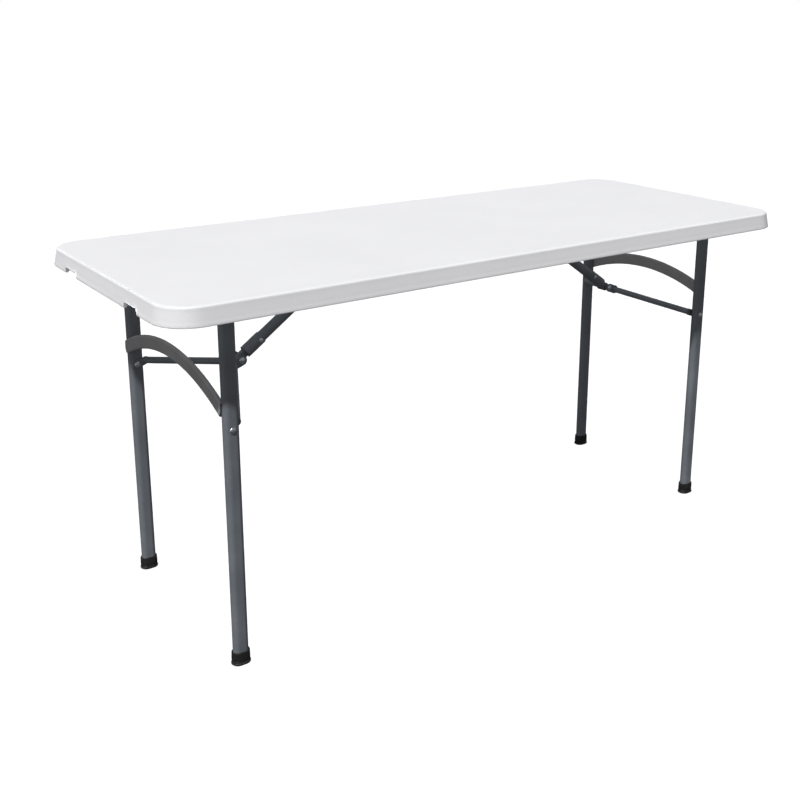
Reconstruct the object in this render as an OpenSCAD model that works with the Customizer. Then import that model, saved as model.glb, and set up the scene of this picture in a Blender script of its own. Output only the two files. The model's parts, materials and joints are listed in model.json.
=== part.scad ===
// Folding table with a blow-moulded top and two folding leg frames.
// Origin: centre of the footprint on the floor. X runs along the table, Y across it, Z up.
// Each leg frame is drawn once, at X = 0 with its inboard side towards +X, and is then
// placed at the left (-X) end or mirrored to the right (+X) end.

/* [Table top] */
// Overall length, at the lower lip of the skirt
table_length = 1524; // [1200:1:1900]
// Overall width, at the lower lip of the skirt
table_width = 610; // [540:1:800]
// Height of the table surface above the floor
table_height = 720; // [600:1:900]
// Height of the whole edge, from the lower lip to the table surface
skirt_height = 35; // [30:1:42]
// How far the skirt leans outward from the top edge to the lower lip
skirt_flare = 6; // [2:0.5:9]
// Thickness of the lower lip of the skirt
lip_thickness = 7; // [5:0.5:10]
// Extra thickness of the skirt where it meets the panel
skirt_root = 3; // [1:0.5:6]
// Corner radius of the outline at the lower lip
corner_radius = 70; // [45:1:110]
// Rounding between the table surface and the skirt
edge_radius = 5; // [3:0.5:8]
// Thickness of the double-walled panel
panel_thickness = 20; // [17:0.5:24]
// Wall of the blow-moulded skins
skin = 2.6; // [2:0.1:4]
// Width of the solid bands in the panel that take the screws
screw_band = 84; // [70:1:120]
// Width of the lengthwise webs between the hollow cells
cell_web = 8; // [4:1:20]
// Width of the two notches in the lip of each end
notch_width = 62; // [30:1:80]
// Height of those notches
notch_height = 11; // [6:1:13]
// Distance between the centres of the two notches
notch_spacing = 300; // [200:1:360]

/* [Leg frames] */
// Distance from the table's end to the leg centres
leg_inset = 140; // [110:1:200]
// Distance between the leg centres of the left frame
leg_spread = 444; // [400:1:480]
// How much further in each leg of the right frame stands, so that the frames nest when folded
nest_step = 30; // [30:1:36]
// Size of the oval leg tube along X
leg_wide = 30; // [26:1:36]
// Size of the oval leg tube along Y
leg_deep = 20; // [16:1:24]
// Wall of the leg tube
leg_wall = 1.2; // [1:0.1:2]
// Diameter of the crossbar that the frame folds about
crossbar_d = 20; // [16:0.5:24]
// Wall of the crossbar
crossbar_wall = 1.5; // [1:0.1:2.5]
// Distance from the underside of the panel down to the crossbar's axis
pivot_drop = 29; // [26:0.5:34]
// Radius of the arched brace at the middle of its band
arch_radius = 500; // [400:1:600]
// Distance from the crossbar's axis down to the middle of the arch's crown
arch_drop = 116; // [114:1:134]
// Width of the arch's band
arch_band = 28; // [22:1:32]
// Thickness of the arch's band
arch_thickness = 9; // [7:0.5:10]
// Distance from the leg centres outboard to the middle of the arch's band
arch_offset = 14.5; // [13.5:0.5:15]
// Wall of the arch's flattened tube
arch_wall = 1.5; // [1:0.1:2]
// Height of the foot caps
cap_height = 26; // [18:1:40]
// Wall of the foot caps around the leg
cap_wall = 3; // [2:0.5:5]
// Thickness of the foot caps under the leg
cap_sole = 4; // [3:0.5:8]

/* [Braces] */
// Distance from the crossbar's axis down to the rivet on each leg
rivet_drop = 206; // [204:1:225]
// Distance from the leg centres inboard to the brace's hinge
hinge_in = 126; // [120:1:130]
// Height of the brace's hinge above the leg rivets
hinge_rise = 47; // [44:1:51]
// Height of the hinge above the crossbar's axis when the frame is folded
fold_rise = 12; // [8:0.5:13]
// Distance from the underside of the panel down to the anchor pin
anchor_drop = 18; // [16:0.5:22]
// Diameter of the V brace's tubes
v_tube_d = 14; // [12:0.5:16]
// Wall of the V brace's tubes
v_tube_wall = 1.2; // [1:0.1:2]
// Radius of the drain hole in each of those tubes
drain_r = 1.5; // [1:0.25:2]
// Thickness of the V brace's end plates
v_flat = 2.5; // [2:0.1:3.5]
// Distance from the rivets to where the V brace's tubes meet their end plates
v_weld = 19; // [17:0.5:24]
// Radius of the V brace's rounded ends at the hinge
ear_r = 10; // [8:0.5:10.5]
// Radius of the V brace's rounded ends at the legs
tab_r = 8; // [7:0.5:9]
// Diameter of the upper strut
strut_d = 22; // [18:0.5:23]
// Wall of the upper strut
strut_wall = 1.5; // [1:0.1:2.5]
// Distance from the hinge to the lower end of the strut's tube
eye_length = 30; // [26:1:36]
// Radius of the eye at the strut's lower end
eye_r = 7; // [6:0.5:7.5]
// Thickness of the eye
eye_thickness = 12; // [8:0.5:16]
// Length of the eye's plug inside the strut's tube
plug_length = 22; // [14:1:30]
// How far the strut's tube runs past the anchor pin
strut_overrun = 8; // [7:0.5:10]
// Wall of the lock collar
collar_wall = 1.8; // [1.4:0.1:2]
// Length of the lock collar
collar_length = 44; // [34:1:52]
// Distance from the hinge to the collar's lower end when it is locked
collar_start = 18; // [18:1:30]
// How far the collar slides up the strut to unlock the brace
collar_travel = 40; // [20:1:60]

/* [Fasteners] */
// Radius of the rivets and pins of the frame
pin_r = 4; // [3:0.25:5]
// Radius of their heads
head_r = 6.5; // [5.5:0.25:8]
// Height of their domed heads
head_h = 3.2; // [2:0.1:4]
// Radius of the collar's rivets
collar_pin_r = 2.5; // [2:0.25:3]
// Radius of their heads, which follow the collar's curve
collar_head_r = 5; // [4:0.25:6]
// Height of the heads of the collar's rivets
collar_head_h = 1.7; // [1:0.1:2]
// Radius of the screws that go up into the panel
screw_r = 2; // [1.5:0.25:2.5]
// Radius of the screw heads
screw_head_r = 4.5; // [3.5:0.25:6]
// Height of the screw heads
screw_head_h = 2.2; // [1.5:0.1:3]
// Depth of the screws in the panel
screw_depth = 12; // [8:0.5:14]
// Width of the pivot brackets along the crossbar
bracket_width = 20; // [14:1:26]
// Wall of the pivot brackets around the crossbar
bracket_wall = 3.5; // [2.5:0.5:5]
// Thickness of the brackets' screw flanges
flange = 2.5; // [2:0.1:4]
// Thickness of the anchor bracket's cheeks
cheek = 3; // [2:0.5:4]

/* [Clearances] */
// Radial clearance of a pin or rivet in its bore
pin_clear = 0.05; // [0.02:0.01:0.08]
// Radial clearance of the crossbar in its brackets
crossbar_clear = 0.06; // [0.02:0.01:0.09]
// Radial clearance of the collar on the strut
collar_clear = 0.08; // [0.03:0.01:0.1]
// Gap between the faces of pieces that turn against each other
side_gap = 0.4; // [0.3:0.1:0.8]
// Gap between the leg's inner face and the pivot bracket
bracket_gap = 1.5; // [0.5:0.5:3]

/* [Hidden] */
$fn = 64;

lip_z = table_height - skirt_height;
under_z = table_height - panel_thickness;
leg_x = table_length / 2 - leg_inset;
left_y = leg_spread / 2;
right_y = left_y - nest_step;

// The brace linkage in the plane Y = 0, as [inboard, height]
pivot = [0, under_z - pivot_drop];
leg_rivet = [0, pivot[1] - rivet_drop];
hinge = [hinge_in, leg_rivet[1] + hinge_rise];
v_length = norm(hinge - leg_rivet);
folded_hinge = [rivet_drop - sqrt(v_length ^ 2 - fold_rise ^ 2), pivot[1] + fold_rise];
anchor_z = under_z - anchor_drop;
// The anchor pin is as far from the hinge with the frame folded as with the frame open
anchor_in = (hinge[0] ^ 2 + (hinge[1] - anchor_z) ^ 2
    - folded_hinge[0] ^ 2 - (folded_hinge[1] - anchor_z) ^ 2) / (2 * (hinge[0] - folded_hinge[0]));
anchor = [anchor_in, anchor_z];
strut_length = norm(anchor - hinge);
strut_slope = atan2(anchor[1] - hinge[1], anchor[0] - hinge[0]);
v_slope = atan2(hinge_rise, hinge_in);

strut_r = strut_d / 2;
collar_bore = strut_r + collar_clear;
collar_r = collar_bore + collar_wall;
collar_head_y = collar_r + collar_head_h;
// The V brace's ends run beside the strut, outside everything that slides on it
ear_y = collar_head_y + 2 * side_gap;
collar_pin_at = collar_start + collar_length - collar_head_r - 2;

anchor_x = leg_x - anchor[0];
bracket_r = crossbar_d / 2 + bracket_wall;
pivot_screw_x = bracket_r + screw_head_r + 3;
flange_x = pivot_screw_x + screw_head_r + 3;
cheek_y = strut_r + 1;
anchor_screw_y = cheek_y + cheek + screw_head_r + 3;
anchor_flange_y = anchor_screw_y + screw_head_r + 3;
anchor_half = ear_r + 3;

white = [0.93, 0.93, 0.94];
slate = [0.27, 0.30, 0.33];
plastic = [0.10, 0.10, 0.11];
zinc = [0.68, 0.73, 0.78];

// ---- Placement ----------------------------------------------------------------------

module left_end() translate([-leg_x, 0, 0]) children();
module right_end() translate([leg_x, 0, 0]) mirror([1, 0, 0]) children();

// A place in the linkage plane, with +X turned up by a slope
module at_link(p, slope = 0) translate([p[0], 0, p[1]]) rotate([0, -slope, 0]) children();

// A round bar along Y between two values of Y
module bar_y(r, y0, y1) translate([0, y0, 0]) rotate([-90, 0, 0]) cylinder(r = r, h = y1 - y0);

// A domed head along +Y that starts at the given Y
module dome_y(r, h, y) {
    ball = (r ^ 2 + h ^ 2) / (2 * h);
    intersection() {
        translate([0, y + h - ball, 0]) sphere(r = ball);
        bar_y(r, y, y + h + 1);
    }
}

// A stadium outline: long along X, round at both ends
module stadium(long, deep) {
    square([long - deep, deep], center = true);
    for (s = [-1, 1]) translate([s * (long - deep) / 2, 0]) circle(d = deep);
}

// ---- Table top ----------------------------------------------------------------------

// Section of the edge, from the corner's axis (x = 0) out to the lip (x = corner_radius)
module edge_section() {
    top_out = corner_radius - skirt_flare;
    arc_steps = 6;
    polygon(concat(
        [[0, under_z], [0, table_height]],
        [for (i = [0:arc_steps]) [
            top_out - edge_radius + edge_radius * sin(90 * i / arc_steps),
            table_height - edge_radius + edge_radius * cos(90 * i / arc_steps)]],
        [[corner_radius, lip_z + 2], [corner_radius - 1, lip_z],
         [corner_radius - lip_thickness, lip_z],
         [corner_radius - lip_thickness - skirt_flare - skirt_root, under_z]]
    ));
}

// A straight run of the edge, along Y at +X
module edge_run(length) {
    translate([0, length / 2, 0]) rotate([90, 0, 0]) linear_extrude(height = length) edge_section();
}

module table_top() {
    core_x = table_length / 2 - corner_radius;
    core_y = table_width / 2 - corner_radius;
    cell_z0 = under_z + skin;
    cell_h = panel_thickness - 2 * skin;
    end_cell = table_length / 2 - skirt_flare - lip_thickness - skirt_root;
    side_cell = table_width / 2 - skirt_flare - lip_thickness - skirt_root;
    half_band = screw_band / 2;
    spans = [
        [-end_cell + corner_radius / 2, -leg_x - half_band],
        [-leg_x + half_band, -anchor_x - half_band],
        [-anchor_x + half_band, anchor_x - half_band],
        [anchor_x + half_band, leg_x - half_band],
        [leg_x + half_band, end_cell - corner_radius / 2]
    ];
    row = 2 * side_cell / 3;
    color(white) difference() {
        union() {
            translate([-core_x, -core_y, under_z])
                cube([2 * core_x, 2 * core_y, panel_thickness]);
            for (s = [0, 1]) mirror([s, 0, 0]) translate([core_x, 0, 0]) edge_run(2 * core_y);
            for (s = [0, 1]) mirror([0, s, 0]) translate([0, core_y, 0])
                rotate([0, 0, 90]) edge_run(2 * core_x);
            for (sx = [0, 1], sy = [0, 1]) mirror([sx, 0, 0]) mirror([0, sy, 0])
                translate([core_x, core_y, 0]) rotate_extrude(angle = 90) edge_section();
        }
        for (span = spans, j = [-1:1])
            translate([span[0], (j - 0.5) * row + cell_web / 2, cell_z0])
                cube([span[1] - span[0], row - cell_web, cell_h]);
        for (sx = [-1, 1], sy = [-1, 1])
            translate([sx * (table_length / 2 - lip_thickness), sy * notch_spacing / 2, lip_z])
                cube([3 * lip_thickness, notch_width, 2 * notch_height], center = true);
        left_end() screw_pilots(left_y);
        right_end() screw_pilots(right_y);
    }
}

// The screws' holes in the panel above one frame
module screw_pilots(leg_y) {
    for (p = pivot_screw_places(leg_y)) translate([p[0], p[1], under_z - 1])
        cylinder(r = screw_r + pin_clear, h = screw_depth + 2);
    for (p = anchor_screw_places()) translate([p[0], p[1], under_z - 1])
        cylinder(r = screw_r + pin_clear, h = screw_depth + 2);
}

// ---- Screws -------------------------------------------------------------------------

function bracket_y(leg_y) = leg_y - leg_deep / 2 - bracket_gap - bracket_width / 2;
function pivot_screw_places(leg_y) =
    [for (sx = [-1, 1], sy = [-1, 1]) [sx * pivot_screw_x, sy * bracket_y(leg_y)]];
function anchor_screw_places() =
    [for (sx = [-1, 1], sy = [-1, 1]) [anchor[0] + sx * anchor_half / 2, sy * anchor_screw_y]];

// A pan-head screw that goes up through a flange into the panel
module screw() {
    translate([0, 0, under_z - flange]) {
        cylinder(r = screw_r, h = flange + screw_depth);
        translate([0, 0, -screw_head_h]) cylinder(r = screw_head_r, h = screw_head_h);
    }
}

module pivot_screws(leg_y) {
    color(zinc) for (p = pivot_screw_places(leg_y)) translate([p[0], p[1], 0]) screw();
}

module anchor_screws() {
    color(zinc) for (p = anchor_screw_places()) translate([p[0], p[1], 0]) screw();
}

// ---- Leg frame ----------------------------------------------------------------------

// The outline of a leg as a solid, larger all round by grow
module leg_solid(leg_y, z0, z1, grow = 0) {
    translate([0, leg_y, z0]) linear_extrude(height = z1 - z0)
        stadium(leg_wide + 2 * grow, leg_deep + 2 * grow);
}

module crossbar(leg_y) {
    half = leg_y + leg_deep / 2;
    color(slate) at_link(pivot) difference() {
        bar_y(crossbar_d / 2, -half, half);
        bar_y(crossbar_d / 2 - crossbar_wall, -half - 1, half + 1);
    }
}

// leg_y is negative for a front leg
module leg(leg_y) {
    color(slate) difference() {
        leg_solid(leg_y, cap_sole, pivot[1]);
        leg_solid(leg_y, cap_sole - 1, pivot[1] + 1, -leg_wall);
        at_link(pivot) bar_y(crossbar_d / 2, leg_y - leg_deep, leg_y + leg_deep);
        at_link(leg_rivet) bar_y(pin_r + pin_clear, leg_y - leg_deep, leg_y + leg_deep);
    }
}

module foot_cap(leg_y) {
    color(plastic) difference() {
        union() {
            leg_solid(leg_y, 0, cap_height, cap_wall);
            leg_solid(leg_y, 0, cap_sole, cap_wall + 1);
        }
        leg_solid(leg_y, cap_sole, cap_height + 1);
    }
}

module arch_profile(shrink = 0) {
    translate([arch_radius, -arch_offset])
        stadium(arch_band - 2 * shrink, arch_thickness - 2 * shrink);
}

module arch_brace(leg_y) {
    centre_z = pivot[1] - arch_drop - arch_radius;
    half_angle = asin((leg_y + 1) / arch_radius);
    color(slate) difference() {
        translate([0, 0, centre_z]) rotate([90, 0, 90]) rotate([0, 0, 90 - half_angle])
            rotate_extrude(angle = 2 * half_angle) difference() {
                arch_profile();
                arch_profile(arch_wall);
            }
        for (s = [-1, 1]) {
            leg_solid(s * leg_y, centre_z, pivot[1]);
            translate([-arch_offset - arch_thickness, s * leg_y + (s < 0 ? -2 * leg_deep : 0), centre_z])
                cube([2 * arch_thickness, 2 * leg_deep, arch_radius + arch_band]);
        }
    }
}

// The rivets that pass through both walls of a leg and the V brace's end inside it
module leg_rivets(leg_y) {
    inner = leg_y - leg_deep / 2 - v_flat - 2 * side_gap;
    outer = leg_y + leg_deep / 2;
    color(zinc) at_link(leg_rivet) for (s = [0, 1]) mirror([0, s, 0]) {
        bar_y(pin_r, inner, outer);
        dome_y(head_r, head_h, outer);
        translate([0, 2 * inner, 0]) mirror([0, 1, 0]) dome_y(head_r, head_h, inner);
    }
}

// A block under the panel that holds the crossbar; side is -1 for the front one
module pivot_bracket(leg_y, side) {
    y = side * bracket_y(leg_y);
    color(plastic) difference() {
        translate([0, y, 0]) union() {
            translate([-flange_x, -bracket_width / 2, under_z - flange])
                cube([2 * flange_x, bracket_width, flange]);
            translate([-bracket_r, -bracket_width / 2, pivot[1]])
                cube([2 * bracket_r, bracket_width, pivot_drop]);
            at_link(pivot) bar_y(bracket_r, -bracket_width / 2, bracket_width / 2);
        }
        at_link(pivot) bar_y(crossbar_d / 2 + crossbar_clear, y - bracket_width, y + bracket_width);
        for (s = [-1, 1]) translate([s * pivot_screw_x, y, under_z - flange - 1])
            cylinder(r = screw_r + pin_clear, h = flange + 2);
    }
}

// ---- V brace ------------------------------------------------------------------------

// A rounded plate from a place in the linkage plane, along a slope, to where the tube meets it
module v_plate(p, slope, r, y) {
    at_link(p, slope) {
        bar_y(r, y, y + v_flat);
        translate([0, y, -r]) cube([v_weld, v_flat, 2 * r]);
        translate([v_weld, 0, 0]) bar_y(r, y, y + v_flat);
    }
}

// One tube of the V with its two end plates, on the +Y side of the frame
module v_strut(leg_y) {
    tab_y = leg_y - leg_deep / 2 - side_gap - v_flat;
    tube_r = v_tube_d / 2;
    along = v_weld * [cos(v_slope), sin(v_slope)];
    low = [leg_rivet[0] + along[0], tab_y + v_flat / 2, leg_rivet[1] + along[1]];
    high = [hinge[0] - along[0], ear_y + v_flat / 2, hinge[1] - along[1]];
    run = high - low;
    length = norm(run);
    tilt = acos(run[2] / length);
    turn = atan2(run[1], run[0]);
    spare = 2 * v_tube_d;
    color(slate) difference() {
        union() {
            intersection() {
                translate(low) rotate([0, tilt, turn]) translate([0, 0, -spare]) difference() {
                    cylinder(r = tube_r, h = length + 2 * spare);
                    translate([0, 0, -1])
                        cylinder(r = tube_r - v_tube_wall, h = length + 2 * spare + 2);
                    // drain hole of the coating bath
                    translate([0, 0, 2 * spare]) rotate([0, 90, 0])
                        cylinder(r = drain_r, h = 2 * tube_r);
                }
                translate([-spare, ear_y, leg_rivet[1] - spare])
                    cube([hinge_in + 2 * spare, tab_y + v_flat - ear_y, hinge_rise + 2 * spare]);
            }
            v_plate(leg_rivet, v_slope, tab_r, tab_y);
            v_plate(hinge, v_slope + 180, ear_r, ear_y);
        }
        at_link(leg_rivet) bar_y(pin_r + pin_clear, tab_y - 1, tab_y + v_flat + 1);
        at_link(hinge) bar_y(pin_r + pin_clear, ear_y - 1, ear_y + v_flat + 1);
    }
}

// The two short rivets that hold the V brace to the hinge, one in each end plate
module hinge_rivets() {
    color(zinc) at_link(hinge) for (s = [0, 1]) mirror([0, s, 0]) {
        bar_y(pin_r, ear_y, ear_y + v_flat);
        dome_y(head_r, head_h, ear_y + v_flat);
    }
}

// ---- Upper strut --------------------------------------------------------------------

module upper_strut() {
    plug_r = strut_r - strut_wall;
    color(slate) at_link(hinge, strut_slope) difference() {
        translate([eye_length, 0, 0]) rotate([0, 90, 0])
            cylinder(r = strut_r, h = strut_length + strut_overrun - eye_length);
        translate([eye_length - 1, 0, 0]) rotate([0, 90, 0])
            cylinder(r = plug_r, h = strut_length + strut_overrun - eye_length + 2);
        translate([strut_length, 0, 0]) bar_y(pin_r + pin_clear, -strut_d, strut_d);
    }
}

// The eye at the strut's lower end, with a plug that is pressed into the tube
module strut_eye() {
    plug_r = strut_r - strut_wall;
    color(slate) at_link(hinge, strut_slope) difference() {
        union() {
            bar_y(eye_r, -eye_thickness / 2, eye_thickness / 2);
            translate([0, -eye_thickness / 2, -eye_r]) cube([eye_length, eye_thickness, 2 * eye_r]);
            translate([eye_length, 0, 0]) rotate([0, 90, 0]) cylinder(r = plug_r, h = plug_length);
        }
        bar_y(pin_r + pin_clear, -eye_thickness, eye_thickness);
    }
}

module hinge_pin() {
    half = ear_y - side_gap;
    color(zinc) at_link(hinge) bar_y(pin_r, -half, half);
}

module lock_collar() {
    color(plastic) at_link(hinge, strut_slope) difference() {
        translate([collar_start, 0, 0]) rotate([0, 90, 0]) cylinder(r = collar_r, h = collar_length);
        translate([collar_start - 1, 0, 0]) rotate([0, 90, 0])
            cylinder(r = collar_bore, h = collar_length + 2);
        translate([collar_pin_at, 0, 0]) bar_y(collar_pin_r + pin_clear, -strut_d, strut_d);
    }
}

// The two short rivets in the collar's wall
module collar_rivet() {
    flat = collar_r - 0.6;
    color(zinc) at_link(hinge, strut_slope) translate([collar_pin_at, 0, 0])
        for (s = [0, 1]) mirror([0, s, 0]) {
            bar_y(collar_pin_r, collar_bore, collar_head_y - 0.3);
            difference() {
                dome_y(collar_head_r, collar_head_y - flat, flat);
                translate([-collar_head_r - 1, 0, 0]) rotate([0, 90, 0])
                    cylinder(r = collar_r, h = 2 * collar_head_r + 2);
            }
        }
}

// ---- Anchor -------------------------------------------------------------------------

module anchor_bracket() {
    color(slate) difference() {
        union() {
            translate([anchor[0] - anchor_half, -anchor_flange_y, under_z - flange])
                cube([2 * anchor_half, 2 * anchor_flange_y, flange]);
            for (s = [0, 1]) mirror([0, s, 0]) {
                at_link(anchor) bar_y(anchor_half - 3, cheek_y, cheek_y + cheek);
                translate([anchor[0] - anchor_half + 3, cheek_y, anchor[1]])
                    cube([2 * anchor_half - 6, cheek, anchor_drop - flange / 2]);
            }
        }
        at_link(anchor) bar_y(pin_r + pin_clear, -2 * cheek_y, 2 * cheek_y);
        for (p = anchor_screw_places()) translate([p[0], p[1], under_z - flange - 1])
            cylinder(r = screw_r + pin_clear, h = flange + 2);
    }
}

module anchor_pin() {
    outer = cheek_y + cheek;
    color(zinc) at_link(anchor) {
        bar_y(pin_r, -outer, outer);
        for (s = [0, 1]) mirror([0, s, 0]) dome_y(head_r, head_h, outer);
    }
}

// ---- Nodes --------------------------------------------------------------------------

module front() mirror([0, 1, 0]) children();

table_top();

left_end() crossbar(left_y);  // crossbar_left
right_end() crossbar(right_y);  // crossbar_right
left_end() leg(-left_y);  // leg_left_front
left_end() leg(left_y);  // leg_left_back
right_end() leg(-right_y);  // leg_right_front
right_end() leg(right_y);  // leg_right_back
left_end() arch_brace(left_y);  // arch_brace_left
right_end() arch_brace(right_y);  // arch_brace_right
left_end() foot_cap(-left_y);  // foot_cap_left_front
left_end() foot_cap(left_y);  // foot_cap_left_back
right_end() foot_cap(-right_y);  // foot_cap_right_front
right_end() foot_cap(right_y);  // foot_cap_right_back
left_end() leg_rivets(left_y);  // leg_rivets_left
right_end() leg_rivets(right_y);  // leg_rivets_right

left_end() pivot_bracket(left_y, -1);  // pivot_bracket_left_front
left_end() pivot_bracket(left_y, 1);  // pivot_bracket_left_back
right_end() pivot_bracket(right_y, -1);  // pivot_bracket_right_front
right_end() pivot_bracket(right_y, 1);  // pivot_bracket_right_back
left_end() pivot_screws(left_y);  // pivot_screws_left
right_end() pivot_screws(right_y);  // pivot_screws_right

left_end() front() v_strut(left_y);  // v_strut_left_front
left_end() v_strut(left_y);  // v_strut_left_back
right_end() front() v_strut(right_y);  // v_strut_right_front
right_end() v_strut(right_y);  // v_strut_right_back
left_end() hinge_rivets();  // hinge_rivets_left
right_end() hinge_rivets();  // hinge_rivets_right

left_end() upper_strut();  // upper_strut_left
right_end() upper_strut();  // upper_strut_right
left_end() strut_eye();  // strut_eye_left
right_end() strut_eye();  // strut_eye_right
left_end() hinge_pin();  // hinge_pin_left
right_end() hinge_pin();  // hinge_pin_right
left_end() lock_collar();  // lock_collar_left
right_end() lock_collar();  // lock_collar_right
left_end() collar_rivet();  // collar_rivet_left
right_end() collar_rivet();  // collar_rivet_right

left_end() anchor_bracket();  // anchor_bracket_left
right_end() anchor_bracket();  // anchor_bracket_right
left_end() anchor_pin();  // anchor_pin_left
right_end() anchor_pin();  // anchor_pin_right
left_end() anchor_screws();  // anchor_screws_left
right_end() anchor_screws();  // anchor_screws_right
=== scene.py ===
import json
import math

import bmesh
import bpy
from mathutils import Matrix, Vector

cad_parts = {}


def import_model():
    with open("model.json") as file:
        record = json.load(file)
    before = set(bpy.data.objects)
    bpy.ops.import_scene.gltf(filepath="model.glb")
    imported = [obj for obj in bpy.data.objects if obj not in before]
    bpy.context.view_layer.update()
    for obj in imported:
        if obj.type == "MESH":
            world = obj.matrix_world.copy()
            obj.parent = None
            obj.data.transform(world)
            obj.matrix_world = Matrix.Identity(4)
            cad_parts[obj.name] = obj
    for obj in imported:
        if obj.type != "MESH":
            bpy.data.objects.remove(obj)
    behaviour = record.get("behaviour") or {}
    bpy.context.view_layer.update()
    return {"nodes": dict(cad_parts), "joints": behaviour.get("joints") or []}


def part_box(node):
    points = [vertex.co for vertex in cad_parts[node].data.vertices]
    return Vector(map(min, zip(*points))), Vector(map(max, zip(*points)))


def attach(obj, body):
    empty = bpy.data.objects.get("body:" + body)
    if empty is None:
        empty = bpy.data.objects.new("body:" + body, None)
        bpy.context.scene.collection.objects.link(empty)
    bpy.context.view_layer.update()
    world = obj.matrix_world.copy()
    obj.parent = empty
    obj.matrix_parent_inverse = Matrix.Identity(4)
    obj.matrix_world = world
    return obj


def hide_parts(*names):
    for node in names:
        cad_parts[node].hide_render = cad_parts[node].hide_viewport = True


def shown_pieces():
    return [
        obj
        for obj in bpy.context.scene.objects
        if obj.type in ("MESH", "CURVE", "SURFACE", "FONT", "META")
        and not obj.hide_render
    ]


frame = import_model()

MM = 0.001
joints = {joint["name"]: joint for joint in frame["joints"]}
SIDES = {"left": -1, "right": 1}
ENDS = ("front", "back")


# ---- Materials --------------------------------------------------------------------------

class Finish:
    """A Principled material. Its detail comes from object coordinates, so scales are per metre."""

    def __init__(self, name, **uniform):
        self.material = bpy.data.materials.new(name)
        self.material.use_nodes = True
        self.nodes = self.material.node_tree.nodes
        self.surface = self.nodes["Principled BSDF"]
        for socket, value in uniform.items():
            self.surface.inputs[socket.replace("_", " ")].default_value = value
        self.place = self.nodes.new("ShaderNodeTexCoord").outputs["Object"]
        self.normal = None

    def link(self, output, socket):
        self.material.node_tree.links.new(output, socket)

    def noise(self, scale, detail=2.0, roughness=0.5, stretch=None):
        """Noise from 0 to 1; stretch scales the coordinates along X, Y and Z first."""
        node = self.nodes.new("ShaderNodeTexNoise")
        node.inputs["Scale"].default_value = scale
        node.inputs["Detail"].default_value = detail
        node.inputs["Roughness"].default_value = roughness
        self.link(self.stretched(stretch), node.inputs["Vector"])
        return node.outputs["Fac"]

    def cells(self, scale):
        """Rounded pebbles: the smoothed distance to the nearest of scattered points."""
        node = self.nodes.new("ShaderNodeTexVoronoi")
        node.feature = "SMOOTH_F1"
        node.inputs["Scale"].default_value = scale
        self.link(self.place, node.inputs["Vector"])
        return node.outputs["Distance"]

    def stretched(self, stretch):
        if stretch is None:
            return self.place
        node = self.nodes.new("ShaderNodeMapping")
        node.inputs["Scale"].default_value = stretch
        self.link(self.place, node.inputs["Vector"])
        return node.outputs["Vector"]

    def remap(self, value, low, high, to_low=0.0, to_high=1.0):
        node = self.nodes.new("ShaderNodeMapRange")
        for socket, number in (("From Min", low), ("From Max", high),
                               ("To Min", to_low), ("To Max", to_high)):
            node.inputs[socket].default_value = number
        self.link(value, node.inputs["Value"])
        return node.outputs["Result"]

    def math(self, operation, a, b):
        node = self.nodes.new("ShaderNodeMath")
        node.operation = operation
        self.link(a, node.inputs[0])
        if isinstance(b, (int, float)):
            node.inputs[1].default_value = b
        else:
            self.link(b, node.inputs[1])
        return node.outputs["Value"]

    def height(self):
        """Height above the floor."""
        node = self.nodes.new("ShaderNodeSeparateXYZ")
        self.link(self.place, node.inputs["Vector"])
        return node.outputs["Z"]

    def edges(self, radius):
        """1 along outer and inner edges, 0 on flat and gently curved surfaces."""
        rounded = self.nodes.new("ShaderNodeBevel")
        rounded.inputs["Radius"].default_value = radius
        true = self.nodes.new("ShaderNodeNewGeometry")
        dot = self.nodes.new("ShaderNodeVectorMath")
        dot.operation = "DOT_PRODUCT"
        self.link(rounded.outputs["Normal"], dot.inputs[0])
        self.link(true.outputs["Normal"], dot.inputs[1])
        return self.remap(dot.outputs["Value"], 0.97, 0.80)

    def blend(self, amount, first, second):
        """A colour between two; each is a colour or the output of another blend."""
        node = self.nodes.new("ShaderNodeMix")
        node.data_type = "RGBA"
        self.link(amount, node.inputs["Factor"])
        for value, socket in ((first, node.inputs[6]), (second, node.inputs[7])):
            if isinstance(value, tuple):
                socket.default_value = (*value, 1.0)
            else:
                self.link(value, socket)
        return node.outputs[2]

    def bump(self, value, depth, strength=1.0):
        """Adds relief; depth is in metres."""
        node = self.nodes.new("ShaderNodeBump")
        node.inputs["Distance"].default_value = depth
        node.inputs["Strength"].default_value = strength
        self.link(value, node.inputs["Height"])
        if self.normal is not None:
            self.link(self.normal, node.inputs["Normal"])
        self.normal = node.outputs["Normal"]

    def done(self, colour, roughness):
        self.link(colour, self.surface.inputs["Base Color"])
        self.link(roughness, self.surface.inputs["Roughness"])
        if self.normal is not None:
            self.link(self.normal, self.surface.inputs["Normal"])
        return self.material


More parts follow.
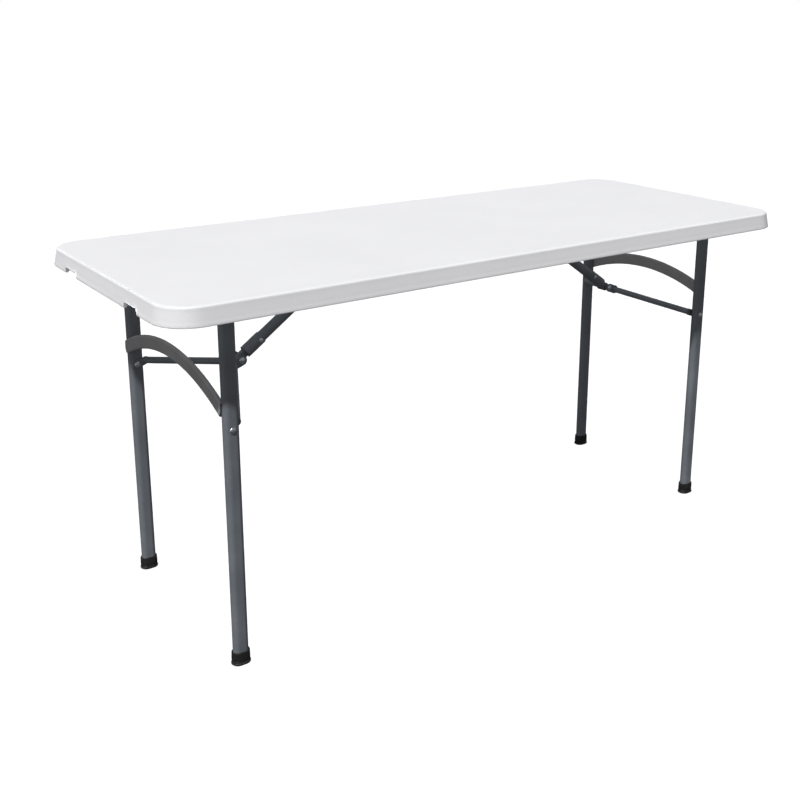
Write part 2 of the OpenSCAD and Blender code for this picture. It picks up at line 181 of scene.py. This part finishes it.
def white_polyethylene():
    """Blow-moulded HDPE: a fine pebbled grain, faint sink waves, and a darker grey in the grain's hollows."""
    m = Finish("white_polyethylene", IOR=1.5, Specular_IOR_Level=0.30)
    pebbles = m.cells(560)
    waves = m.noise(9, detail=1.0)
    clouds = m.noise(5, detail=4.0)
    specks = m.remap(m.noise(260, detail=3.0), 0.66, 0.74)
    scuffs = m.remap(m.noise(34, detail=5.0, stretch=(1.0, 5.0, 1.0)), 0.60, 0.78)
    colour = m.blend(m.remap(clouds, 0.35, 0.65), (0.930, 0.931, 0.938), (0.908, 0.909, 0.918))
    colour = m.blend(m.math("MULTIPLY", scuffs, 0.08), colour, (0.78, 0.78, 0.79))
    colour = m.blend(m.math("MULTIPLY", specks, 0.12), colour, (0.66, 0.65, 0.63))
    # a darker grey in the hollows of the pebbled grain, the same pits that the bump below sinks
    colour = m.blend(m.math("MULTIPLY", m.remap(pebbles, 0.55, 0.15), 0.06), colour, (0.74, 0.74, 0.75))
    m.bump(waves, 0.0009, 0.35)
    m.bump(pebbles, 0.00022, 0.8)
    m.bump(m.noise(1500, detail=2.0), 0.00008, 0.6)
    roughness = m.math("ADD", m.remap(m.noise(48, detail=4.0), 0.3, 0.7, 0.50, 0.62),
                       m.math("MULTIPLY", scuffs, -0.08))
    return m.done(colour, roughness)


def slate_powder_coat(name, tint):
    """Satin powder coat on steel tube: orange peel, fine flecks, rubbed edges, dust low down."""
    m = Finish(name, IOR=1.5, Specular_IOR_Level=0.5, Coat_Weight=0.06, Coat_Roughness=0.30)
    dark = tuple(0.86 * c for c in tint)
    light = tuple(1.12 * c for c in tint)
    pale = (0.36, 0.37, 0.38)
    dust = (0.30, 0.29, 0.27)
    clouds = m.noise(14, detail=3.0)
    flecks = m.remap(m.noise(1900, detail=1.0), 0.62, 0.70)
    wear = m.math("MULTIPLY", m.edges(0.0012), m.remap(m.noise(150, detail=4.0), 0.42, 0.66))
    scratches = m.remap(m.noise(70, detail=5.0, stretch=(6.0, 6.0, 0.5)), 0.68, 0.74)
    low = m.math("MULTIPLY", m.remap(m.height(), 0.22, 0.0), m.remap(m.noise(60, detail=4.0), 0.4, 0.7))
    colour = m.blend(m.remap(clouds, 0.3, 0.7), dark, light)
    colour = m.blend(m.math("MULTIPLY", flecks, 0.20), colour, pale)
    colour = m.blend(m.math("MULTIPLY", wear, 0.40), colour, pale)
    colour = m.blend(m.math("MULTIPLY", scratches, 0.18), colour, pale)
    colour = m.blend(m.math("MULTIPLY", low, 0.22), colour, dust)
    m.bump(m.noise(420, detail=2.0), 0.00025, 0.55)
    m.bump(m.noise(2600, detail=1.0), 0.00004, 0.5)
    roughness = m.math("ADD", m.remap(m.noise(90, detail=3.0), 0.3, 0.7, 0.42, 0.54),
                       m.math("MULTIPLY", low, 0.20))
    return m.done(colour, roughness)


def black_moulded_plastic():
    """Moulded black plastic with a spark-eroded grain, pale rubbed edges and floor dust."""
    m = Finish("black_moulded_plastic", IOR=1.48, Specular_IOR_Level=0.30)
    grain = m.noise(1300, detail=3.0)
    wear = m.math("MULTIPLY", m.edges(0.0010), m.remap(m.noise(210, detail=4.0), 0.40, 0.68))
    low = m.math("MULTIPLY", m.remap(m.height(), 0.030, 0.0), m.remap(m.noise(190, detail=4.0), 0.35, 0.7))
    colour = m.blend(m.remap(m.noise(40, detail=3.0), 0.3, 0.7), (0.012, 0.012, 0.013), (0.022, 0.022, 0.023))
    colour = m.blend(m.math("MULTIPLY", wear, 0.25), colour, (0.12, 0.12, 0.12))
    colour = m.blend(m.math("MULTIPLY", low, 0.14), colour, (0.18, 0.17, 0.16))
    m.bump(grain, 0.00012, 0.7)
    return m.done(colour, m.remap(m.noise(75, detail=4.0), 0.3, 0.7, 0.42, 0.58))


def bright_zinc():
    """Zinc plate with a faint blue passivation, turning marks and dull spots."""
    m = Finish("bright_zinc", Metallic=1.0)
    spangle = m.noise(330, detail=4.0)
    spots = m.remap(m.noise(520, detail=3.0), 0.58, 0.70)
    colour = m.blend(m.remap(spangle, 0.35, 0.65), (0.60, 0.66, 0.72), (0.74, 0.78, 0.81))
    colour = m.blend(m.math("MULTIPLY", spots, 0.35), colour, (0.42, 0.43, 0.43))
    m.bump(m.noise(900, detail=3.0), 0.00006, 0.6)
    return m.done(colour, m.remap(spangle, 0.3, 0.7, 0.24, 0.40))


WHITE = white_polyethylene()
SLATE = slate_powder_coat("slate_powder_coat", (0.184, 0.204, 0.228))
# The arch braces' coat is the slate powder coat made about twice as light. The extra lightness is painted
# light: it stands for the brightness the arches' outward faces show while they lie in the top's shade.
ARCH_COAT_PAINTED_LIGHT = slate_powder_coat("arch_coat_painted_light", (0.400, 0.400, 0.404))
BLACK = black_moulded_plastic()
ZINC = bright_zinc()


# ---- Mesh helpers -----------------------------------------------------------------------

class Shape:
    """A mesh in the making, in the frame's own metres."""

    def __init__(self):
        self.bm = bmesh.new()

    def ring(self, points):
        return [self.bm.verts.new(p) for p in points]

    def join(self, first, second):
        """Quads between two closed rings of the same length."""
        count = len(first)
        for i in range(count):
            j = (i + 1) % count
            self.bm.faces.new((first[i], first[j], second[j], second[i]))

    def loft(self, rings):
        """Joins rings in turn and returns them as vertices."""
        made = [self.ring(points) for points in rings]
        for first, second in zip(made, made[1:]):
            self.join(first, second)
        return made

    def cap(self, ring):
        self.bm.faces.new(ring)

    def tube(self, points, radii, sides=10):
        """A closed round tube along points, one radius per point."""
        rings = []
        side = None
        for i, point in enumerate(points):
            ahead = points[min(i + 1, len(points) - 1)]
            behind = points[max(i - 1, 0)]
            along = (ahead - behind).normalized()
            if side is None:
                side = along.orthogonal().normalized()
            side = (side - along * side.dot(along)).normalized()
            up = along.cross(side)
            turns = [math.tau * k / sides for k in range(sides)]
            rings.append([point + radii[i] * (math.cos(a) * side + math.sin(a) * up) for a in turns])
        made = self.loft(rings)
        self.cap(list(reversed(made[0])))
        self.cap(made[-1])

    def finish(self, name, body, material, replaces=(), sharp=35):
        """Turns the shape into an object that rides on a body."""
        bmesh.ops.remove_doubles(self.bm, verts=self.bm.verts, dist=1e-6)
        bmesh.ops.recalc_face_normals(self.bm, faces=self.bm.faces)
        mesh = bpy.data.meshes.new(name)
        self.bm.to_mesh(mesh)
        self.bm.free()
        mesh.shade_smooth()
        mesh.set_sharp_from_angle(angle=math.radians(sharp))
        mesh.materials.append(material)
        piece = bpy.data.objects.new(name, mesh)
        bpy.context.scene.collection.objects.link(piece)
        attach(piece, body)
        if replaces:
            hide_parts(*replaces)
        return piece


def stadium_ring(centre, long, deep, z, steps=10):
    """Points round a stadium that is long along X and deep along Y, at one height."""
    r = deep / 2
    reach = (long - deep) / 2
    points = []
    for s in (1, -1):
        for k in range(steps + 1):
            a = math.pi * k / steps - math.pi / 2
            x = centre.x + s * (reach + r * math.cos(a))
            points.append(Vector((x, centre.y + s * r * math.sin(a), z)))
    return points


# ---- Table top --------------------------------------------------------------------------

top_low, top_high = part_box("table_top")
TOP_Z = top_high.z
LIP_Z = top_low.z
UNDER_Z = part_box("pivot_bracket_left_front")[1].z
HALF_L = top_high.x
HALF_W = top_high.y
CORNER_R = 70 * MM
CORNER_STEPS = 14
SIDE_STEPS = 8
SKIRT_FLARE = 6 * MM
EDGE_R = 5 * MM
LIP_R = 2.2 * MM
LIP_THICKNESS = 7 * MM
SKIRT_ROOT = 3 * MM
SKIRT_CROWN = 0.35 * MM     # how far the moulded skirt swells between its edges
INNER_FILLET = 5 * MM
NOTCH_HEIGHT = 11 * MM
NOTCH_WIDTH = 62 * MM
NOTCH_SPACING = 300 * MM
NOTCH_EASE = 5 * MM
NOTCH_STEPS = 4
DIMPLE_PITCH = 42 * MM
DIMPLE_R = 13 * MM
DIMPLE_DEPTH = 11 * MM
DIMPLE_SIDES = 12
UNDERSIDE_MARGIN = 16 * MM


def arc(centre, radius, start, end, steps):
    """Points [inset, z] on an arc, angles in degrees."""
    angles = [math.radians(start + (end - start) * k / steps) for k in range(steps + 1)]
    return [(centre[0] + radius * math.cos(a), centre[1] + radius * math.sin(a)) for a in angles]


def edge_section():
    """The edge from the flat top down the skirt, round the lip and up to the underside.
    Each point is (distance in from the outermost outline, height)."""
    lean = SKIRT_FLARE / (TOP_Z - LIP_Z - EDGE_R)
    root = LIP_THICKNESS + SKIRT_FLARE + SKIRT_ROOT
    section = [(SKIRT_FLARE + EDGE_R + 9 * MM, TOP_Z), (SKIRT_FLARE + EDGE_R + 3 * MM, TOP_Z)]
    section += arc((SKIRT_FLARE + EDGE_R, TOP_Z - EDGE_R), EDGE_R, 90, 180, 6)
    for share in (0.15, 0.4, 0.65, 0.85):
        z = TOP_Z - EDGE_R + share * (LIP_Z + LIP_R - TOP_Z + EDGE_R)
        crown = SKIRT_CROWN * math.sin(math.pi * share)
        section.append(((z - LIP_Z) * lean - crown + SKIRT_CROWN, z))
    section += arc((LIP_R, LIP_Z + LIP_R), LIP_R, 180, 270, 5)
    section += arc((LIP_THICKNESS - LIP_R, LIP_Z + LIP_R), LIP_R, 270, 350, 4)
    section += arc((root + INNER_FILLET, UNDER_Z - INNER_FILLET), INNER_FILLET, 168, 90, 5)
    section.append((root + INNER_FILLET + 4 * MM, UNDER_Z))
    return section


def stations():
    """Places round the outline as (core point, outward direction, share of the notch's full cut)."""
    core_x = HALF_L - CORNER_R
    core_y = HALF_W - CORNER_R
    places = []

    def straight(start, end, outward):
        for k in range(SIDE_STEPS + 1):
            places.append((start.lerp(end, k / SIDE_STEPS), outward, 0.0))

    def end_run(sign):
        half = NOTCH_WIDTH / 2
        ys = {}
        for middle in (-NOTCH_SPACING / 2, NOTCH_SPACING / 2):
            for k in range(NOTCH_STEPS + 1):
                cut = 0.5 - 0.5 * math.cos(math.pi * k / NOTCH_STEPS)
                for side in (-1, 1):
                    ys[middle + side * (half - NOTCH_EASE * k / NOTCH_STEPS)] = cut
            ys[middle] = 1.0
        for uncut in (-core_y, 0.0, core_y):
            ys[uncut] = 0.0
        for y in sorted(ys, reverse=sign < 0):
            places.append((Vector((sign * core_x, y)), Vector((sign, 0)), ys[y]))

    def corner(sx, sy, start):
        for k in range(1, CORNER_STEPS):
            a = math.radians(start + 90 * k / CORNER_STEPS)
            places.append((Vector((sx * core_x, sy * core_y)), Vector((math.cos(a), math.sin(a))), 0.0))

    straight(Vector((-core_x, -core_y)), Vector((core_x, -core_y)), Vector((0, -1)))
    corner(1, -1, -90)
    end_run(1)
    corner(1, 1, 0)
    straight(Vector((core_x, core_y)), Vector((-core_x, core_y)), Vector((0, 1)))
    corner(-1, 1, 90)
    end_run(-1)
    corner(-1, -1, 180)
    return places


def solid_places():
    """Boxes of the underside, in X and Y, that carry a bracket and stay free of dimples."""
    nodes = [f"pivot_bracket_{side}_{end}" for side in SIDES for end in ENDS]
    nodes += [f"anchor_bracket_{side}" for side in SIDES]
    return [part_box(node) for node in nodes]


def dimple_cell(shape, x, y, solid):
    """One square of the underside, with a tapered kiss-off dimple unless it is solid."""
    half = DIMPLE_PITCH / 2
    per_side = DIMPLE_SIDES // 4
    square = []
    for k in range(DIMPLE_SIDES):
        side, step = divmod(k, per_side)
        t = -half + DIMPLE_PITCH * step / per_side
        px, py = [(t, -half), (half, t), (-t, half), (-half, -t)][side]
        square.append(Vector((x + px, y + py, UNDER_Z)))
    if solid:
        shape.cap(shape.ring(square))
        return

    def circle(radius, rise):
        points = []
        for k in range(DIMPLE_SIDES):
            a = math.tau * (k - per_side / 2) / DIMPLE_SIDES - math.pi / 2
            points.append(Vector((x + radius * math.cos(a), y + radius * math.sin(a), UNDER_Z + rise)))
        return points

    made = shape.loft([
        square,
        circle(DIMPLE_R + 2 * MM, 0),
        circle(DIMPLE_R, 0.6 * MM),
        circle(DIMPLE_R - 1.4 * MM, 2 * MM),
        circle(DIMPLE_R - 4 * MM, DIMPLE_DEPTH - 1.2 * MM),
        circle(DIMPLE_R - 5.5 * MM, DIMPLE_DEPTH),
    ])
    shape.cap(made[-1])


def underside(shape, border):
    """Fills the underside inside the border ring: a grid of dimples and a flat margin round it."""
    reach_x = max(v.co.x for v in border) - UNDERSIDE_MARGIN
    reach_y = max(v.co.y for v in border) - UNDERSIDE_MARGIN
    count_x = int(2 * reach_x / DIMPLE_PITCH)
    count_y = int(2 * reach_y / DIMPLE_PITCH)
    keep_clear = DIMPLE_R + 4 * MM
    solids = solid_places()
    for i in range(count_x):
        for j in range(count_y):
            x = (i - (count_x - 1) / 2) * DIMPLE_PITCH
            y = (j - (count_y - 1) / 2) * DIMPLE_PITCH
            solid = any(low.x - keep_clear < x < high.x + keep_clear
                        and low.y - keep_clear < y < high.y + keep_clear
                        for low, high in solids)
            dimple_cell(shape, x, y, solid)
    bmesh.ops.remove_doubles(shape.bm, verts=shape.bm.verts, dist=1e-6)
    loose = [edge for edge in shape.bm.edges
             if edge.is_boundary and all(abs(v.co.z - UNDER_Z) < 1e-6 for v in edge.verts)]
    bmesh.ops.triangle_fill(shape.bm, use_beauty=True, use_dissolve=False, edges=loose)


def top_shell():
    """The whole blow-moulded top as one closed skin."""
    shape = Shape()
    notch_z = LIP_Z + NOTCH_HEIGHT
    rings = []
    for inset, z in edge_section():
        ring = []
        for core, outward, cut in stations():
            xy = core + outward * (CORNER_R - inset)
            raised = z + cut * max(0.0, notch_z - z) if inset < LIP_THICKNESS + SKIRT_FLARE else z
            ring.append(Vector((xy.x, xy.y, raised)))
        rings.append(ring)
    made = shape.loft(rings)
    shape.cap(made[0])
    underside(shape, made[-1])
    return shape.finish("top_shell", "table_top", WHITE, ["table_top"], sharp=32)


# ---- Foot caps --------------------------------------------------------------------------

def foot_cap(side, end):
    """A moulded cap: rounded sole, two grip grooves, drafted wall and a soft rim round the leg."""
    node = f"foot_cap_{side}_{end}"
    low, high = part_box(node)
    leg_low, leg_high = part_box(f"leg_{side}_{end}")
    middle = (low + high) / 2
    wide = high.x - low.x
    deep = high.y - low.y
    tall = high.z
    leg_wide = leg_high.x - leg_low.x
    leg_deep = leg_high.y - leg_low.y
    sole = leg_low.z
    top = tall / MM
    # (how far outside the sole's outline, height), in millimetres
    outside = [
        (-3.0, 0.0), (-1.2, 0.0), (-0.35, 0.35), (0.0, 1.2), (0.0, 3.0), (-0.3, 3.8),       # sole
        (-1.1, 4.2), (-1.5, 4.9), (-1.1, 5.6), (-1.0, 7.4), (-1.5, 8.1), (-1.1, 8.8),       # grooves
        (-1.0, 14.0), (-1.3, top - 2.2), (-1.6, top - 0.9), (-2.3, top - 0.2), (-3.1, top),  # wall, rim
    ]
    shape = Shape()
    rings = []
    for grow, z in outside:
        rings.append(stadium_ring(middle, wide + 2 * grow * MM, deep + 2 * grow * MM, z * MM))
    for gap, z in ((0.5 * MM, tall - 0.4 * MM), (0.05 * MM, tall - 1.4 * MM), (0.05 * MM, sole)):
        rings.append(stadium_ring(middle, leg_wide + 2 * gap, leg_deep + 2 * gap, z))
    made = shape.loft(rings)
    shape.cap(made[0])
    shape.cap(made[-1])
    shape.finish(f"{node}_moulded", f"leg_frame_{side}", BLACK, [node])


# ---- Weld beads -------------------------------------------------------------------------

BEAD_R = 1.5 * MM
CROSSBAR_BEAD_STEPS = 22
SEAM_STEPS = 16
SEAM_REACH = 6 * MM


def bead(shape, path):
    """A rippled weld bead along a path of points."""
    count = len(path)
    radii = []
    for i in range(count):
        fade = min(1.0, 0.35 + 0.65 * min(i, count - 1 - i) / 2)
        radii.append(BEAD_R * fade * (1 + 0.16 * math.sin(2.1 * i)))
    shape.tube(path, radii)


def arch_seam(side, y):
    """Lowest and highest height of the arched brace where it passes a value of Y."""
    arch = frame["nodes"][f"arch_brace_{side}"].data
    heights = [v.co.z for v in arch.vertices if abs(v.co.y - y) < SEAM_REACH]
    return min(heights) + 2 * MM, max(heights) - 2 * MM


def weld_beads(side):
    """Beads where the crossbar and the arch meet the legs of one frame."""
    pivot = Vector(joints[f"leg_fold_{side}"]["pos_m"])
    bar_low, bar_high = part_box(f"crossbar_{side}")
    bar_r = (bar_high.z - bar_low.z) / 2
    arch_low, arch_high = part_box(f"arch_brace_{side}")
    shape = Shape()
    for end in ENDS:
        leg_low, leg_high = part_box(f"leg_{side}_{end}")
        inner = leg_low.y if leg_low.y > 0 else leg_high.y
        path = []
        for k in range(CROSSBAR_BEAD_STEPS + 1):
            a = math.pi * (1 + k / CROSSBAR_BEAD_STEPS)
            path.append(Vector((pivot.x + bar_r * math.cos(a), inner, pivot.z + bar_r * math.sin(a))))
        bead(shape, path)
        leg_y = (leg_low.y + leg_high.y) / 2
        leg_r = (leg_high.y - leg_low.y) / 2
        seam_x = arch_high.x if side == "left" else arch_low.x
        round_x = pivot.x + SIDES[side] * ((leg_high.x - leg_low.x) / 2 - leg_r)
        seam_y = leg_y - math.copysign(math.sqrt(max(0.0, leg_r ** 2 - (seam_x - round_x) ** 2)), leg_y)
        foot, top = arch_seam(side, seam_y)
        heights = [foot + (top - foot) * k / SEAM_STEPS for k in range(SEAM_STEPS + 1)]
        bead(shape, [Vector((seam_x, seam_y, z)) for z in heights])
    shape.finish(f"weld_beads_{side}", f"leg_frame_{side}", SLATE, sharp=60)


# ---- CAD pieces -------------------------------------------------------------------------

def finish_for(node):
    if node.startswith(("foot_cap", "pivot_bracket")):
        return BLACK
    if any(word in node for word in ("rivet", "pin", "screw")):
        return ZINC
    # the arch braces get the lightened coat that carries painted light
    return ARCH_COAT_PAINTED_LIGHT if node.startswith("arch_brace") else SLATE


def dress_cad_pieces():
    """Gives every carried-over CAD piece its material."""
    for name, piece in frame["nodes"].items():
        if name == "table_top" or name.startswith("foot_cap"):
            continue
        mesh = piece.data
        mesh.materials.clear()
        mesh.materials.append(finish_for(name))


# ---- Light, floor and camera ------------------------------------------------------------

SUN_FROM = Vector((-0.538, -0.385, 1.0))
SUN_STRENGTH = 2.90
SUN_ANGLE = 2.5
FLOOR_SUN_STRENGTH = 3.6
FILL_FROM = Vector((0.12, -0.10, -1.0))
FILL_STRENGTH = 0.75
FILL_ANGLE = 40
BOUNCE_PLACE = (-3.4, -0.4, 0.35)
BOUNCE_TARGET = (-0.6, 0.0, 0.45)
BOUNCE_SIZE = (2.4, 0.7)
BOUNCE_POWER = 4.5
SKY = (0.240, 0.241, 0.252)
GROUND = (0.080, 0.079, 0.079)
FLOOR_SIZE = 60.0
DOME_R = 34.0


def world():
    """A soft pale ceiling that fades to a dim surround below the horizon."""
    made = bpy.data.worlds.new("studio")
    made.use_nodes = True
    nodes = made.node_tree.nodes
    links = made.node_tree.links
    split = nodes.new("ShaderNodeSeparateXYZ")
    links.new(nodes.new("ShaderNodeTexCoord").outputs["Generated"], split.inputs["Vector"])
    fade = nodes.new("ShaderNodeMapRange")
    fade.inputs["From Min"].default_value = -0.25
    fade.inputs["From Max"].default_value = 0.15
    links.new(split.outputs["Z"], fade.inputs["Value"])
    mix = nodes.new("ShaderNodeMix")
    mix.data_type = "RGBA"
    mix.inputs[6].default_value = (*GROUND, 1.0)
    mix.inputs[7].default_value = (*SKY, 1.0)
    links.new(fade.outputs["Result"], mix.inputs["Factor"])
    links.new(mix.outputs[2], nodes["Background"].inputs["Color"])
    bpy.context.scene.world = made
    bpy.context.scene.view_settings.view_transform = "Standard"


def group(name, objects):
    made = bpy.data.collections.new(name)
    for item in objects:
        made.objects.link(item)
    return made


def sun(name, source, strength, angle, receivers, blockers):
    """A sun that shines from the direction of source, on the receivers only."""
    lamp = bpy.data.lights.new(name, "SUN")
    lamp.energy = strength
    lamp.angle = math.radians(angle)
    made = bpy.data.objects.new(name, lamp)
    made.rotation_mode = "QUATERNION"
    made.rotation_quaternion = source.to_track_quat("Z", "Y")
    bpy.context.scene.collection.objects.link(made)
    made.light_linking.receiver_collection = receivers
    made.light_linking.blocker_collection = blockers
    return made


def stage_plane():
    mesh = bpy.data.meshes.new("floor")
    half = FLOOR_SIZE / 2
    corners = [(-half, -half, 0), (half, -half, 0), (half, half, 0), (-half, half, 0)]
    mesh.from_pydata(corners, [], [(0, 1, 2, 3)])
    floor = bpy.data.objects.new("floor", mesh)
    bpy.context.scene.collection.objects.link(floor)
    material = bpy.data.materials.new("floor_paint")
    material.use_nodes = True
    nodes = material.node_tree.nodes
    links = material.node_tree.links
    paint = nodes["Principled BSDF"]
    paint.inputs["Base Color"].default_value = (0.93, 0.93, 0.93, 1)
    paint.inputs["Roughness"].default_value = 0.9
    paint.inputs["Specular IOR Level"].default_value = 0.1
    # seen from below the floor is clear, so that the underside of the table can be looked at
    clear = nodes.new("ShaderNodeBsdfTransparent")
    face = nodes.new("ShaderNodeNewGeometry")
    mix = nodes.new("ShaderNodeMixShader")
    links.new(face.outputs["Backfacing"], mix.inputs["Fac"])
    links.new(paint.outputs["BSDF"], mix.inputs[1])
    links.new(clear.outputs["BSDF"], mix.inputs[2])
    links.new(mix.outputs["Shader"], nodes["Material Output"].inputs["Surface"])
    mesh.materials.append(material)
    floor.visible_diffuse = False
    floor.visible_glossy = False
    return floor


def backdrop():
    """A white dome that only the camera sees."""
    mesh = bpy.data.meshes.new("backdrop")
    bm = bmesh.new()
    bmesh.ops.create_uvsphere(bm, u_segments=32, v_segments=16, radius=DOME_R)
    bm.to_mesh(mesh)
    bm.free()
    material = bpy.data.materials.new("backdrop_white")
    material.use_nodes = True
    nodes = material.node_tree.nodes
    glow = nodes.new("ShaderNodeEmission")
    glow.inputs["Color"].default_value = (1, 1, 1, 1)
    material.node_tree.links.new(glow.outputs["Emission"], nodes["Material Output"].inputs["Surface"])
    mesh.materials.append(material)
    dome = bpy.data.objects.new("backdrop", mesh)
    bpy.context.scene.collection.objects.link(dome)
    for rays in ("diffuse", "glossy", "transmission", "volume_scatter", "shadow"):
        setattr(dome, f"visible_{rays}", False)


def area_light(name, place, target, size, power):
    lamp = bpy.data.lights.new(name, "AREA")
    lamp.shape = "RECTANGLE"
    lamp.size, lamp.size_y = size
    lamp.energy = power
    made = bpy.data.objects.new(name, lamp)
    made.location = place
    made.rotation_mode = "QUATERNION"
    made.rotation_quaternion = (Vector(place) - Vector(target)).to_track_quat("Z", "Y")
    bpy.context.scene.collection.objects.link(made)
    return made


def camera():
    """The camera, by the heading, tilt and roll that a level tripod head would show."""
    heading, tilt, roll = (math.radians(a) for a in (36.589, 15.584, 0.600))
    along = math.cos(tilt)
    forward = Vector((math.sin(heading) * along, math.cos(heading) * along, -math.sin(tilt)))
    level = forward.cross(Vector((0, 0, 1))).normalized()
    up = level.cross(forward)
    right = level * math.cos(roll) + up * math.sin(roll)
    lens = bpy.data.cameras.new("camera")
    lens.lens = 50.414
    lens.sensor_width = 36
    lens.shift_x = -0.0625
    lens.shift_y = -0.1200
    lens.clip_end = 200
    made = bpy.data.objects.new("camera", lens)
    axes = Matrix((right, right.cross(forward), -forward)).transposed()
    made.matrix_world = Matrix.Translation((-1.4090, -1.9253, 1.2103)) @ axes.to_4x4()
    bpy.context.scene.collection.objects.link(made)
    bpy.context.scene.camera = made


# ---- Building it ------------------------------------------------------------------------

camera()
world()
top = top_shell()
for side in SIDES:
    for end in ENDS:
        foot_cap(side, end)
    weld_beads(side)
dress_cad_pieces()
object_pieces = group("object_pieces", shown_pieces())
floor = stage_plane()
floor_only = group("floor_only", [floor])
sun("key", SUN_FROM, SUN_STRENGTH, SUN_ANGLE, object_pieces, object_pieces)
sun("floor_wash", SUN_FROM, FLOOR_SUN_STRENGTH, SUN_ANGLE, floor_only, floor_only)
# light that a pale floor sends up to the underside of the top, and to nothing else
sun("under_fill", FILL_FROM, FILL_STRENGTH, FILL_ANGLE, group("top_only", [top]), object_pieces)
backdrop()
area_light("low_bounce", BOUNCE_PLACE, BOUNCE_TARGET, BOUNCE_SIZE, BOUNCE_POWER)
